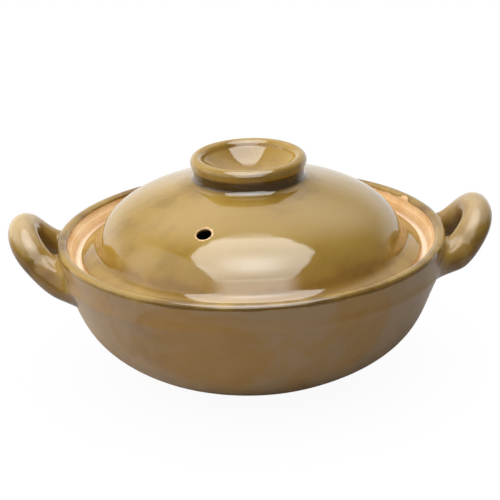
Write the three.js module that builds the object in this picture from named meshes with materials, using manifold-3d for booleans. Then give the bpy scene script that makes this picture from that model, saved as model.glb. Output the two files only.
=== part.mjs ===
// Lidded earthenware casserole pot: a thrown bowl with two loop handles, and a domed lid with a ring knob.
// Millimetres, +Z up. The pot stands on z = 0 with its axis on Z, handles out along X, front towards -Y.

import * as THREE from 'three';
import { mergeVertices } from 'three/addons/utils/BufferGeometryUtils.js';
import Module from 'manifold-3d';

const wasm = await Module();
wasm.setup();

// Bowl
const potHeight = 87; // table to the top of the rim
const rimRadius = 120; // outside of the rim
const rimRoll = 3.5; // radius of the rounded rim, half its thickness
const bandHeight = 16.5; // upright band, from the belt line to the top of the rim
const beltInset = 0.5; // the belt line lies this far inside the rim's outside
const beltLean = 27; // degrees from upright at which the bowl meets the belt line
const beltPull = 33; // how far that direction carries down the bowl
const footRadius = 52; // flat foot that the pot stands on
const footLean = 22; // degrees above the table at which the bowl leaves the foot
const footPull = 65; // how far that direction carries up the bowl
const wallThickness = 7.5; // bowl wall
const floorThickness = 9; // bowl floor

// Gallery inside the rim, where the lid sits
const galleryDepth = 12; // top of the rim down to the ledge
const galleryInset = 11; // outside of the rim to the foot of the gallery wall
const galleryRound = 3.2; // hollow corner between gallery wall and ledge
const ledgeWidth = 9; // ledge that carries the lid
const ledgeThickness = 5; // lip of the ledge
const lipRound = 2; // rounded upper edge of that lip

// Lid
const lidClearance = 3.6; // between the lid's edge and the gallery wall
const seatGap = 0.3; // between the lid and the ledge
const brimThickness = 4; // lid edge
const brimRound = 1.2; // rounded corners of that edge
const brimWidth = 10; // flat brim around the dome
const brimRise = 0.9; // the brim climbs this much towards the dome
const brimHollow = 6; // hollow corner between brim and dome
const domeRise = 43; // brim to the knob's seat
const domeLean = 9.5; // degrees from upright at which the dome leaves the brim
const domePull = 25; // how far that direction carries up the dome
const crownSlope = 18; // degrees from level at which the dome meets the knob's seat
const crownPull = 25; // how far that direction carries down the dome
const lidThickness = 6.5; // dome wall

// Steam hole
const steamHoleDiameter = 9; // at the outside of the dome, square to it
const steamHoleLand = 1.2; // straight part of the hole, from the outside in
const steamHoleFlare = 35; // degrees at which the hole widens from there to the inside
const steamHoleInset = 25.5; // foot of the dome to the middle of the hole, measured level
const steamHoleTurn = -25; // degrees round from the front, towards the left-hand handle
const drillRun = 3; // the drill runs on this far past both sides of the dome wall

// Ring knob
const knobHeight = 13.8; // knob's seat to the top of the ring
const knobRadius = 35.8; // outside of the rolled ring
const knobRoll = 3.5; // radius of the roll
const rollUnder = 60; // degrees below level to which the roll turns in towards the neck
const knobNeck = 2.6; // grip groove, from the ring's outside in to the neck
const knobFootRadius = 36.4; // spread foot of the knob
const knobFootEdge = 0.8; // thickness of that foot's edge
const knobFootHollow = 3; // height of the hollow corner between foot and neck
const knobGap = 0.3; // joint between knob and lid
const dishDepth = 12.2; // hollow inside the ring
const dishLean = 20; // degrees from upright of the hollow's wall
const dishRound = 9; // reach of the rounded corner on the hollow's floor

// Loop handles
const handleReach = 20; // rim's outside to the middle of the roll at its outermost
const handleRise = 7; // rim's top up to the middle of the roll at its outermost
const handleBend = 24.5; // how far the roll runs level along the rim either side of there
const rootTurn = 20; // degrees round the pot from the handle's middle to each end
const rootDepth = 11.5; // the ends lie this far inside the rim's outside
const rootDrop = 18.5; // top of the rim down to the ends
const rootLean = 31; // degrees off the wall at which each end leaves it
const rootPull = 34; // how far that direction carries along the roll
const rollTip = 18; // thickness of the roll at its outermost
const rollLeg = 20; // fullness of the legs, which draws the thickness up between tip and end
const rollRoot = 18; // thickness of the ends where they are pressed onto the wall
const handleGap = 0.3; // joint between handle and wall

// Fineness of the faceted surfaces
const turnSteps = 60;
const knobSteps = 48;
const holeSteps = 24;
const curveSteps = 12;
const cornerSteps = 3;
const rollSteps = 6;
const handleRings = 32;
const handleSides = 18;
const searchRounds = 40;
const weldDistance = 1e-4;

const radians = THREE.MathUtils.degToRad;

// Profile points are (radius, height) pairs.
function at(radius, height) {
  return new THREE.Vector2(radius, height);
}

function arc(centre, radius, fromDegrees, toDegrees, steps = cornerSteps) {
  const from = radians(fromDegrees);
  const to = radians(toDegrees);
  const curve = new THREE.EllipseCurve(centre.x, centre.y, radius, radius, from, to, to < from);
  return curve.getPoints(steps);
}

function hollow(start, corner, end) {
  return new THREE.QuadraticBezierCurve(start, corner, end).getPoints(cornerSteps);
}

// A curve that leaves one point and reaches another in given directions, held for given distances.
function pulled(start, startDirection, startPull, end, endDirection, endPull) {
  const first = start.clone().addScaledVector(startDirection, startPull);
  const second = end.clone().addScaledVector(endDirection, -endPull);
  return new THREE.CubicBezierCurve(start, first, second, end);
}

function heading(degreesAboveLevel) {
  return at(Math.cos(radians(degreesAboveLevel)), Math.sin(radians(degreesAboveLevel)));
}

// A point at a set distance to the left of a curve, looking along it.
function beside(curve, distance, along) {
  const point = curve.getPoint(along);
  const tangent = curve.getTangent(along);
  return at(point.x - tangent.y * distance, point.y + tangent.x * distance);
}

function offset(curve, distance, from = 0, to = 1) {
  const points = [];
  for (let i = 0; i <= curveSteps; i += 1) {
    points.push(beside(curve, distance, THREE.MathUtils.lerp(from, to, i / curveSteps)));
  }
  return points;
}

// How far along a curve, from 0 to 1, a test first holds.
function whereFirst(test) {
  let low = 0;
  let high = 1;
  for (let i = 0; i < searchRounds; i += 1) {
    const middle = (low + high) / 2;
    if (test(middle)) high = middle;
    else low = middle;
  }
  return high;
}

function turned(profile, steps) {
  const geometry = new THREE.LatheGeometry(profile, steps);
  geometry.rotateX(Math.PI / 2);
  return closed(geometry);
}

function closed(geometry) {
  geometry.deleteAttribute('normal');
  geometry.deleteAttribute('uv');
  return mergeVertices(geometry, weldDistance);
}

function solidOf(geometry) {
  const vertProperties = new Float32Array(geometry.attributes.position.array);
  const triVerts = new Uint32Array(geometry.index.array);
  return new wasm.Manifold(new wasm.Mesh({ numProp: 3, vertProperties, triVerts }));
}

function geometryOf(solid) {
  const mesh = solid.getMesh();
  const geometry = new THREE.BufferGeometry();
  geometry.setAttribute('position', new THREE.BufferAttribute(mesh.vertProperties, 3));
  geometry.setIndex(new THREE.BufferAttribute(mesh.triVerts, 1));
  return geometry;
}

// Places that follow from the sizes
const ledgeHeight = potHeight - galleryDepth;
const galleryRadius = rimRadius - galleryInset;
const mouthRadius = galleryRadius - ledgeWidth;
const beltHeight = potHeight - bandHeight;
const beltRadius = rimRadius - beltInset;
const lidRadius = galleryRadius - lidClearance;
const lidBottom = ledgeHeight + seatGap;
const brimTop = lidBottom + brimThickness;
const domeRadius = lidRadius - brimWidth;
const domeFoot = brimTop + brimRise;
const seatHeight = domeFoot + domeRise;

const bowlCurve = pulled(
  at(footRadius, 0), heading(footLean), footPull,
  at(beltRadius, beltHeight), heading(90 - beltLean), beltPull,
);

const domeCurve = pulled(
  at(domeRadius, domeFoot), heading(90 + domeLean), domePull,
  at(knobFootRadius, seatHeight), heading(180 - crownSlope), crownPull,
);

const rimCentre = at(rimRadius - rimRoll, potHeight - rimRoll);

// Outside of the bowl from the foot to the top of the rim, moved out by a gap where a piece is fitted to it.
function bowlOutside(gap) {
  return [
    at(0, -gap),
    ...offset(bowlCurve, -gap),
    ...arc(rimCentre, rimRoll + gap, 0, 90),
  ];
}

function potBody() {
  const galleryCentre = at(galleryRadius - galleryRound, ledgeHeight + galleryRound);
  const lipCentre = at(mouthRadius + lipRound, ledgeHeight - lipRound);
  const shelfFoot = at(mouthRadius, ledgeHeight - ledgeThickness);
  // The wall's inside runs parallel to its outside, from the floor to the slope under the ledge.
  const inside = (along) => beside(bowlCurve, wallThickness, along);
  const floorEdge = whereFirst((along) => inside(along).y > floorThickness);
  const shelfEdge = whereFirst((along) => inside(along).x + inside(along).y > shelfFoot.x + shelfFoot.y);
  const profile = [
    ...bowlOutside(0),
    ...arc(rimCentre, rimRoll, 90, 180).slice(1),
    ...arc(galleryCentre, galleryRound, 0, -90),
    ...arc(lipCentre, lipRound, 90, 180),
    shelfFoot,
    ...offset(bowlCurve, wallThickness, shelfEdge, floorEdge),
    at(0, floorThickness),
  ];
  return turned(profile, turnSteps);
}

function lid() {
  const edgeRadius = lidRadius - brimRound;
  const ceiling = seatHeight - lidThickness;
  const ceilingEdge = whereFirst((along) => beside(domeCurve, lidThickness, along).y > ceiling);
  const inside = offset(domeCurve, lidThickness, ceilingEdge, 0);
  const hollowEnd = whereFirst((along) => domeCurve.getPoint(along).y > domeFoot + brimHollow);
  const profile = [
    at(0, ceiling),
    ...inside,
    at(inside[inside.length - 1].x, lidBottom),
    ...arc(at(edgeRadius, lidBottom + brimRound), brimRound, -90, 0),
    ...arc(at(edgeRadius, brimTop - brimRound), brimRound, 0, 90),
    ...hollow(at(domeRadius + brimHollow, domeFoot), at(domeRadius, domeFoot), domeCurve.getPoint(hollowEnd)),
    ...offset(domeCurve, 0, hollowEnd).slice(1),
    at(0, seatHeight),
  ];
  const shell = solidOf(turned(profile, turnSteps));
  return geometryOf(shell.subtract(solidOf(steamHole())));
}

// The hole pierced through the dome, square to its surface and pared wider from the inside.
function steamHole() {
  const along = whereFirst((share) => domeCurve.getPoint(share).x < domeRadius - steamHoleInset);
  const point = domeCurve.getPoint(along);
  const tangent = domeCurve.getTangent(along);
  const radius = steamHoleDiameter / 2;
  const depth = lidThickness + drillRun;
  const wideRadius = radius + (depth - steamHoleLand) * Math.tan(radians(steamHoleFlare));
  const drill = turned([
    at(0, -depth),
    at(wideRadius, -depth),
    at(radius, -steamHoleLand),
    at(radius, drillRun),
    at(0, drillRun),
  ], holeSteps);
  const upright = new THREE.Vector3(0, 0, 1);
  const outwards = new THREE.Vector3(tangent.y, 0, -tangent.x);
  drill.applyQuaternion(new THREE.Quaternion().setFromUnitVectors(upright, outwards));
  drill.translate(point.x, 0, point.y);
  drill.rotateZ(radians(steamHoleTurn - 90));
  return drill;
}

function lidKnob() {
  const base = seatHeight + knobGap;
  const top = seatHeight + knobHeight;
  const rollCentre = at(knobRadius - knobRoll, top - knobRoll);
  const neckRadius = knobRadius - knobNeck;
  const footTop = base + knobFootEdge;
  const dishFloor = top - dishDepth;
  const dishEdge = at(rollCentre.x - knobRoll, rollCentre.y);
  const dishFoot = dishEdge.x - (dishEdge.y - dishFloor) * Math.tan(radians(dishLean));
  const profile = [
    at(0, base),
    at(knobFootRadius, base),
    ...hollow(at(knobFootRadius, footTop), at(neckRadius, footTop), at(neckRadius, footTop + knobFootHollow)),
    ...arc(rollCentre, knobRoll, -rollUnder, 180, rollSteps),
    ...hollow(dishEdge, at(dishFoot, dishFloor), at(dishFoot - dishRound, dishFloor)).slice(1),
    at(0, dishFloor),
  ];
  return turned(profile, knobSteps);
}

// Half of the roll's middle line, from one end in the wall to the outermost point.
function handleLeg(side) {
  const turn = radians(rootTurn);
  const lean = radians(rootLean);
  const rootRadius = rimRadius - rootDepth;
  const root = new THREE.Vector3(rootRadius * Math.cos(turn), rootRadius * Math.sin(turn), potHeight - rootDrop);
  const leaving = new THREE.Vector3(Math.sin(turn + lean), -Math.cos(turn + lean), 0);
  const tip = new THREE.Vector3(rimRadius + handleReach, 0, potHeight + handleRise);
  const points = [
    root,
    root.clone().addScaledVector(leaving, rootPull),
    tip.clone().setY(handleBend),
    tip,
  ];
  points.forEach((point) => { point.y *= side; });
  return points;
}

function handle() {
  const near = new THREE.CubicBezierCurve3(...handleLeg(-1));
  const far = new THREE.CubicBezierCurve3(...handleLeg(1).reverse());
  const thickness = new THREE.QuadraticBezierCurve(at(0, rollRoot), at(0.5, rollLeg), at(1, rollTip));
  const loopNormal = new THREE.Vector3(-handleRise - rootDrop, 0, handleReach + rootDepth).normalize();
  const positions = [];
  for (let ring = 0; ring <= handleRings; ring += 1) {
    const share = 2 * ring / handleRings;
    const leg = share < 1 ? near : far;
    const along = share < 1 ? share : share - 1;
    const middle = leg.getPoint(along);
    const across = leg.getTangent(along).cross(loopNormal).normalize();
    const up = across.clone().cross(leg.getTangent(along));
    const radius = thickness.getPoint(share < 1 ? along : 1 - along).y / 2;
    for (let side = 0; side < handleSides; side += 1) {
      const angle = (side / handleSides) * 2 * Math.PI;
      const point = middle.clone()
        .addScaledVector(across, Math.cos(angle) * radius)
        .addScaledVector(up, Math.sin(angle) * radius);
      positions.push(...point);
    }
  }
  const roll = new THREE.BufferGeometry();
  roll.setAttribute('position', new THREE.Float32BufferAttribute(positions, 3));
  roll.setIndex(rollFaces());
  const wall = turned([...bowlOutside(handleGap), at(0, potHeight + handleGap)], turnSteps);
  return geometryOf(solidOf(roll).subtract(solidOf(wall)));
}

// Triangles between neighbouring rings, and a fan over each end.
function rollFaces() {
  const lastRing = handleRings * handleSides;
  const faces = [];
  for (let side = 0; side < handleSides; side += 1) {
    const next = (side + 1) % handleSides;
    for (let ring = 0; ring < handleRings; ring += 1) {
      const here = ring * handleSides;
      const there = here + handleSides;
      faces.push(here + side, there + side, there + next);
      faces.push(here + side, there + next, here + next);
    }
    if (side > 0 && next > 0) {
      faces.push(0, side, next);
      faces.push(lastRing, lastRing + next, lastRing + side);
    }
  }
  return faces;
}

function glaze(color, roughness) {
  return new THREE.MeshStandardMaterial({ color, roughness, metalness: 0 });
}

const lidGlaze = glaze(0xb49655, 0.2);
const bodyGlaze = glaze(0x877050, 0.45);
const handleGlaze = glaze(0x877050, 0.35);

const pot = new THREE.Group();

function place(name, geometry, material) {
  geometry.computeVertexNormals();
  const mesh = new THREE.Mesh(geometry, material);
  mesh.name = name;
  pot.add(mesh);
  return mesh;
}

place('pot_body', potBody(), bodyGlaze);
place('handle_right', handle(), handleGlaze);
place('handle_left', handle(), handleGlaze).rotation.z = Math.PI;
place('lid', lid(), lidGlaze);
place('lid_knob', lidKnob(), lidGlaze);

export default pot;
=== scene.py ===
import math
import random
import bmesh
import bpy
import numpy as np
from mathutils import Matrix, Quaternion, Vector


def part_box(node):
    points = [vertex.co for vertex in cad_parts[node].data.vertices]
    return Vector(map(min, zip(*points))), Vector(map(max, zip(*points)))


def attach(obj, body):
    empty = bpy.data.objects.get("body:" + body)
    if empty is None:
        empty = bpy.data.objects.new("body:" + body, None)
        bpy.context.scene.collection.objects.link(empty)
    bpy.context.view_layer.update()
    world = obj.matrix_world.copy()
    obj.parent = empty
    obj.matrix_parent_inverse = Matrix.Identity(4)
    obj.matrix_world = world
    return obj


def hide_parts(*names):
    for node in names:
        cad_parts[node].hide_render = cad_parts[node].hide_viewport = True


# Glazed earthenware casserole: thrown bowl, luted loop handles, domed lid with a ring knob.
# Sizes are in millimetres until a mesh is made, the frame is in metres.

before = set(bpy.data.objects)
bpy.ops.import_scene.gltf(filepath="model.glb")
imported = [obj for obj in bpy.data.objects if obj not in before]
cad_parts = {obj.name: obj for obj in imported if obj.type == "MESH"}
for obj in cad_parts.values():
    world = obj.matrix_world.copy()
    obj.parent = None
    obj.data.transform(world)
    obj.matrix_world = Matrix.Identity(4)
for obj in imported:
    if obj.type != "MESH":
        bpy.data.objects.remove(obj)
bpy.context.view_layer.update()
mm = 0.001
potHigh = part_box("pot_body")[1]
lidLow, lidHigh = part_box("lid")
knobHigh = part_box("lid_knob")[1]
potHeight = potHigh.z / mm
rimRadius = potHigh.x / mm
lidBottom = lidLow.z / mm
lidRadius = lidHigh.x / mm
seatHeight = lidHigh.z / mm
knobTop = knobHigh.z / mm
print("frame loaded, rim", round(rimRadius), "mm radius, pot", round(potHeight), "mm high")


# profiles

def heading(degrees):
    return np.array([math.cos(math.radians(degrees)), math.sin(math.radians(degrees))])


def bezier(a, b, c, d, count=80):
    t = np.linspace(0, 1, count)[:, None]
    return (1 - t) ** 3 * a + 3 * t * (1 - t) ** 2 * b + 3 * t * t * (1 - t) * c + t ** 3 * d


def pulled(start, startLean, startPull, end, endLean, endPull):
    start, end = np.array(start, float), np.array(end, float)
    return bezier(start, start + heading(startLean) * startPull, end - heading(endLean) * endPull, end)


def arc(radius, height, size, fromDegrees, toDegrees, count=24):
    turn = np.radians(np.linspace(fromDegrees, toDegrees, count))
    return np.stack([radius + size * np.cos(turn), height + size * np.sin(turn)], 1)


def joined(*stretches):
    return np.concatenate([np.atleast_2d(np.array(s, float)) for s in stretches])


# distance run along a path, point by point
def runLength(path):
    return np.concatenate([[0], np.cumsum(np.linalg.norm(np.diff(path, axis=0), axis=1))])


# evenly spaced points, finer where the step function says so
def spaced(points, step):
    gaps = np.hypot(*np.diff(points, axis=0).T)
    points = points[np.concatenate([[True], gaps > 1e-6])]
    along = runLength(points)
    fine = np.linspace(0, along[-1], 4000)
    middle = np.stack([np.interp(fine, along, points[:, k]) for k in (0, 1)], 1)
    weight = np.array([1 / step(r, z) for r, z in middle])
    count = np.concatenate([[0], np.cumsum((weight[1:] + weight[:-1]) / 2 * np.diff(fine))])
    places = np.interp(np.linspace(0, count[-1], int(count[-1]) + 2), count, fine)
    return np.stack([np.interp(places, along, points[:, k]) for k in (0, 1)], 1)


# rounds off corners the way wet fingers do
def softened(points, rounds):
    points = points.copy()
    for _ in range(rounds):
        points[1:-1] = points[1:-1] * 0.5 + (points[:-2] + points[2:]) * 0.25
    return points


def sideways(points):
    tangent = np.gradient(points, axis=0)
    tangent /= np.maximum(np.hypot(tangent[:, 0], tangent[:, 1]), 1e-9)[:, None]
    return np.stack([tangent[:, 1], -tangent[:, 0]], 1)


def smoothStep(low, high, value):
    t = np.clip((value - low) / (high - low), 0, 1)
    return t * t * (3 - 2 * t)


# 1 at the middle, falling off softly to both sides
def hill(value, middle, width):
    return np.exp(-((value - middle) / width) ** 2)


# a slow hand-made wander round the pot, the same each run
def wander(angle, seed, waves, size):
    draw = random.Random(seed)
    total = np.zeros_like(angle)
    for k in waves:
        total = total + draw.uniform(0.4, 1) * np.sin(k * angle + draw.uniform(0, 2 * math.pi))
    return total * size / math.sqrt(len(waves))


# meshes

def newMesh(name, vertices, faces):
    mesh = bpy.data.meshes.new(name)
    mesh.from_pydata(vertices, [], faces)
    mesh.update()
    return mesh


def placed(name, data):
    thing = bpy.data.objects.new(name, data)
    bpy.context.scene.collection.objects.link(thing)
    return thing


# a profile turned round the upright axis, pushed out by the relief
def turnedMesh(name, profile, around, relief):
    angle = np.linspace(0, 2 * math.pi, around, endpoint=False)
    normal = sideways(profile)
    along = runLength(profile)
    push = relief(profile[:, 0][:, None], profile[:, 1][:, None], along[:, None], angle[None, :])
    radius = profile[:, 0][:, None] + normal[:, 0][:, None] * push
    height = profile[:, 1][:, None] + normal[:, 1][:, None] * push
    vertices = []
    rows = []
    for j in range(len(profile)):
        if profile[j, 0] < 1e-6:
            rows.append([len(vertices)] * around)
            vertices.append((0, 0, height[j].mean() * mm))
        else:
            rows.append(list(range(len(vertices), len(vertices) + around)))
            ring = np.stack([radius[j] * np.cos(angle), radius[j] * np.sin(angle), height[j]], 1) * mm
            vertices.extend(map(tuple, ring))
    faces = []
    for j in range(len(profile) - 1):
        for i in range(around):
            k = (i + 1) % around
            corners = [rows[j][i], rows[j][k], rows[j + 1][k], rows[j + 1][i]]
            faces.append(tuple(dict.fromkeys(corners)))
    return newMesh(name, vertices, faces)


def addPiece(name, mesh, body, node):
    piece = placed(name, mesh)
    mesh.polygons.foreach_set("use_smooth", [True] * len(mesh.polygons))
    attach(piece, body)
    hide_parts(node)
    return piece


def vertexField(mesh, field):
    flat = np.empty(len(mesh.vertices) * 3)
    mesh.vertices.foreach_get(field, flat)
    return flat.reshape(-1, 3)


# vertices in millimetres, with their distance from the axis and their angle round it
def surveyed(mesh):
    spot = vertexField(mesh, "co") / mm
    return spot, np.hypot(spot[:, 0], spot[:, 1]), np.arctan2(spot[:, 1], spot[:, 0])


# each face takes the coat that weighs most on it; the last argument is where the glaze gathered thick, and
# also carries painted shade low on the bowl and in the knob's groove, the handles' paler tops that are partly
# painted reflection, and painted light on the gallery's ledge
def dress(piece, coats, pool):
    mesh = piece.data
    corner = np.empty(len(mesh.loops), int)
    mesh.loops.foreach_get("vertex_index", corner)
    starts = np.empty(len(mesh.polygons), int)
    mesh.polygons.foreach_get("loop_start", starts)
    totals = np.empty(len(mesh.polygons), int)
    mesh.polygons.foreach_get("loop_total", totals)
    weights = []
    for material, weight in coats:
        mesh.materials.append(material)
        weights.append(np.add.reduceat(weight[corner], starts) / totals)
    mesh.polygons.foreach_set("material_index", np.argmax(weights, axis=0))
    layer = mesh.attributes.new("pool", "FLOAT", "POINT")
    layer.data.foreach_set("value", np.asarray(pool, np.float32))
    mesh.update()


# materials

def linear(hexText):
    parts = [int(hexText[i:i + 2], 16) / 255 for i in (1, 3, 5)]
    return [p / 12.92 if p <= 0.04045 else ((p + 0.055) / 1.055) ** 2.4 for p in parts] + [1]


# adds one node, sets its fields and sockets, and links other nodes' sockets into it
def addNode(tree, kind, settings=None, values=None, links=None):
    node = tree.nodes.new(kind)
    for field, value in (settings or {}).items():
        setattr(node, field, value)
    for socket, value in (values or {}).items():
        node.inputs[socket].default_value = value
    for socket, source in (links or {}).items():
        tree.links.new(source, node.inputs[socket])
    return node


# one step of arithmetic on sockets and constants
def reckon(tree, operation, links, constants=None):
    return addNode(tree, "ShaderNodeMath", {"operation": operation}, constants, links).outputs[0]


# carries a value onto another range, eased at both ends unless told otherwise
def ranged(tree, value, start, end, least=0.0, most=1.0, kind="SMOOTHSTEP"):
    limits = {"From Min": start, "From Max": end, "To Min": least, "To Max": most}
    node = addNode(tree, "ShaderNodeMapRange", {"interpolation_type": kind}, limits, {"Value": value})
    return node.outputs[0]


def perMetre(sizeInMm):
    return 1 / (sizeInMm * mm)


def noise(tree, place, sizeInMm, detail, ragged=0.5, swirl=0.0):
    values = {"Scale": perMetre(sizeInMm), "Detail": detail, "Roughness": ragged, "Distortion": swirl}
    return addNode(tree, "ShaderNodeTexNoise", values=values, links={"Vector": place}).outputs["Fac"]


# cells of the given size with one point in each, for specks and grit
def scattered(tree, place, sizeInMm):
    return addNode(tree, "ShaderNodeTexVoronoi", values={"Scale": perMetre(sizeInMm), "Randomness": 1},
                   links={"Vector": place})


def colourRamp(tree, value, stops, easing):
    ramp = addNode(tree, "ShaderNodeValToRGB", links={"Fac": value})
    ramp.color_ramp.interpolation = easing
    for i, (position, colour) in enumerate(stops):
        stop = ramp.color_ramp.elements[i] if i < 2 else ramp.color_ramp.elements.new(position)
        stop.position = position
        stop.color = linear(colour)
    return ramp.outputs["Color"]


def tinted(tree, under, hexText, share):
    return addNode(tree, "ShaderNodeMix", {"data_type": "RGBA"}, {7: linear(hexText)},
                   {0: share, 6: under}).outputs[2]


def newMaterial(name):
    material = bpy.data.materials.new(name)
    material.use_nodes = True
    material.node_tree.nodes.clear()
    return material, material.node_tree


lidLook = {
    "thin": "#b08f44",  # where the glaze ran thin over an edge
    "body": "#a98739",  # ochre of the main coat
    "thick": "#92712b",  # olive brown where it gathered
    "dark": "#46300c",  # deep brown where it filled a groove, also used as painted shade under the knob's roll
    "depths": (0.18, 0.41, 0.60, 0.95), "depthShare": 0.6,  # how thick the coat is at those four
    "cloudMm": 38, "cloudDetail": 3,  # slow drift of the coat
    "streakMm": 9, "streakDetail": 4, "streakRagged": 0.6, "streakShare": 0.35,  # and finer runs in it
    "film": "#b79a5c",  # faint pale greyish patches over the coat
    "filmShare": 0.12, "filmFrom": 0.47, "filmEdge": 0.7,  # how strong, and how soft its patches end
    "filmMm": 55, "filmDetail": 8, "filmRagged": 0.5, "filmSwirl": 0.6,
    "speck": "#4a3517",  # iron spots burnt through
    "speckMm": 7, "speckRare": 0.72, "speckRadius": 0.075,  # spacing, share of cells without, radius in cells
    "pale": "#d8c49a",  # blisters and clay grains showing through
    "paleMm": 16, "paleRare": 0.86, "paleRadius": 0.045,
    "dotShare": 0.8, "dotCore": 0.4,  # how strong a dot is, and how much of it is full
    "peelMm": 2.6, "peel": 0.035,  # orange-peel skin
    "wave": 0.1,  # how much the thick coat lies in waves
    "bumpMm": 0.4,
    "glossSpread": (0.8, 1.25),  # uneven gloss over the clouds
    "bend": 1.6,  # refractive index of the glass
    "coatRoughness": 0.05,
}


# Glazed earthenware, dipped and fired: an ochre glass over buff clay, so the eye gets deep gloss, a soft
# cloudy drift of colour, fine iron specks and a faint orange-peel skin.
def glazedEarthenware(name, look, roughness, coat):
    material, tree = newMaterial(name)
    place = addNode(tree, "ShaderNodeTexCoord").outputs["Object"]
    pool = addNode(tree, "ShaderNodeAttribute", {"attribute_name": "pool"}).outputs["Fac"]
    cloud = noise(tree, place, look["cloudMm"], look["cloudDetail"])
    streak = noise(tree, place, look["streakMm"], look["streakDetail"], look["streakRagged"])
    drift = reckon(tree, "MULTIPLY_ADD", {0: streak, 2: cloud}, {1: look["streakShare"]})
    depth = reckon(tree, "ADD", {0: drift, 1: pool})
    depth = reckon(tree, "MULTIPLY", {0: depth}, {1: look["depthShare"]})
    tones = [look[key] for key in ("thin", "body", "thick", "dark")]
    colour = colourRamp(tree, depth, zip(look["depths"], tones), "EASE")
    haze = noise(tree, place, look["filmMm"], look["filmDetail"], look["filmRagged"], look["filmSwirl"])
    film = ranged(tree, haze, look["filmFrom"], look["filmEdge"], 0, look["filmShare"], "LINEAR")
    colour = tinted(tree, colour, look["film"], film)
    for key in ("speck", "pale"):
        cells = scattered(tree, place, look[key + "Mm"])
        chosen = addNode(tree, "ShaderNodeSeparateColor", links={"Color": cells.outputs["Color"]}).outputs[0]
        some = reckon(tree, "GREATER_THAN", {0: chosen}, {1: look[key + "Rare"]})
        radius = look[key + "Radius"]
        dot = ranged(tree, cells.outputs["Distance"], radius, radius * look["dotCore"], 0, look["dotShare"])
        colour = tinted(tree, colour, look[key], reckon(tree, "MULTIPLY", {0: some, 1: dot}))
    bump = look["bumpMm"] * mm
    wave = addNode(tree, "ShaderNodeBump", values={"Strength": look["wave"], "Distance": bump},
                   links={"Height": streak})
    peel = noise(tree, place, look["peelMm"], 2)
    skin = addNode(tree, "ShaderNodeBump", values={"Strength": look["peel"], "Distance": bump},
                   links={"Height": peel, "Normal": wave.outputs["Normal"]})
    glossy, dull = (roughness * share for share in look["glossSpread"])
    gloss = ranged(tree, cloud, 0, 1, glossy, dull, "LINEAR")
    glass = {"IOR": look["bend"], "Coat Weight": coat, "Coat Roughness": look["coatRoughness"]}
    shader = addNode(tree, "ShaderNodeBsdfPrincipled", values=glass,
                     links={"Base Color": colour, "Roughness": gloss, "Normal": skin.outputs["Normal"]})
    addNode(tree, "ShaderNodeOutputMaterial", links={"Surface": shader.outputs[0]})
    return material


clayLook = {
    "dark": "#dcab6e", "body": "#ebc490", "light": "#f6d9b0",
    "tones": (0.45, 0.68, 0.95),  # noise levels of those three
    "paintedLedgeLight": "#fff0dd", "paintedLedgeLightShare": 0.6,  # painted light: the ledge is tinted paler where it faces up and catches the light
    "cloudMm": 22, "cloudDetail": 4,
    "grainMm": 1.1, "grainDetail": 3, "grainShare": 0.35,
    "grit": "#9a7145", "gritMm": 5, "gritRadius": (0.09, 0.04), "gritShare": 0.7,
    "tooth": 0.25, "toothMm": 0.3,  # sandy surface
    "bend": 1.5, "roughness": 0.88, "sheen": 0.3,
}


# Bare fired buff clay: dry, open and slightly sandy, so the eye gets a matt peach ground with fine grit.
def bareClay(name, look):
    material, tree = newMaterial(name)
    place = addNode(tree, "ShaderNodeTexCoord").outputs["Object"]
    cloud = noise(tree, place, look["cloudMm"], look["cloudDetail"])
    grain = noise(tree, place, look["grainMm"], look["grainDetail"])
    tone = reckon(tree, "MULTIPLY_ADD", {0: grain, 2: cloud}, {1: look["grainShare"]})
    shades = [look[key] for key in ("dark", "body", "light")]
    colour = colourRamp(tree, tone, zip(look["tones"], shades), "LINEAR")
    # painted light: the clay is tinted paler where this attribute is high, which is on the gallery's ledge
    ledgeLit = addNode(tree, "ShaderNodeAttribute", {"attribute_name": "pool"}).outputs["Fac"]
    paintedLight = reckon(tree, "MULTIPLY", {0: ledgeLit}, {1: look["paintedLedgeLightShare"]})
    colour = tinted(tree, colour, look["paintedLedgeLight"], paintedLight)
    cells = scattered(tree, place, look["gritMm"])
    dot = ranged(tree, cells.outputs["Distance"], *look["gritRadius"], 0, look["gritShare"], "LINEAR")
    colour = tinted(tree, colour, look["grit"], dot)
    sandy = {"Strength": look["tooth"], "Distance": look["toothMm"] * mm}
    tooth = addNode(tree, "ShaderNodeBump", values=sandy, links={"Height": grain})
    dry = {"IOR": look["bend"], "Roughness": look["roughness"], "Specular IOR Level": look["sheen"]}
    shader = addNode(tree, "ShaderNodeBsdfPrincipled", values=dry,
                     links={"Base Color": colour, "Normal": tooth.outputs["Normal"]})
    addNode(tree, "ShaderNodeOutputMaterial", links={"Surface": shader.outputs[0]})
    return material


# the rim's coat pooled darker, the pot's is milky and dull, the handles' lies between
rimLook = dict(lidLook, thick="#7d5a1c", wave=0.03)
potLook = dict(lidLook, thin="#b08a54", body="#a67d3e", thick="#8e692d", cloudMm=60,
               film="#a68d70", filmShare=0.5, filmMm=62, filmEdge=0.57, filmRagged=0.68, bend=1.48)
handleLook = dict(lidLook, thin="#c2a676", body="#a58236", thick="#86632a", film="#ab9474", filmEdge=0.64,
                  filmMm=30, bend=1.46)
lidGlaze = glazedEarthenware("glazed earthenware, lid", lidLook, 0.05, 0.1)
rimGlaze = glazedEarthenware("glazed earthenware, rim", rimLook, 0.08, 0.1)
potGlaze = glazedEarthenware("glazed earthenware, pot", potLook, 0.30, 0.1)
clay = bareClay("bare fired clay", clayLook)
print("materials made")


# bowl

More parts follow.
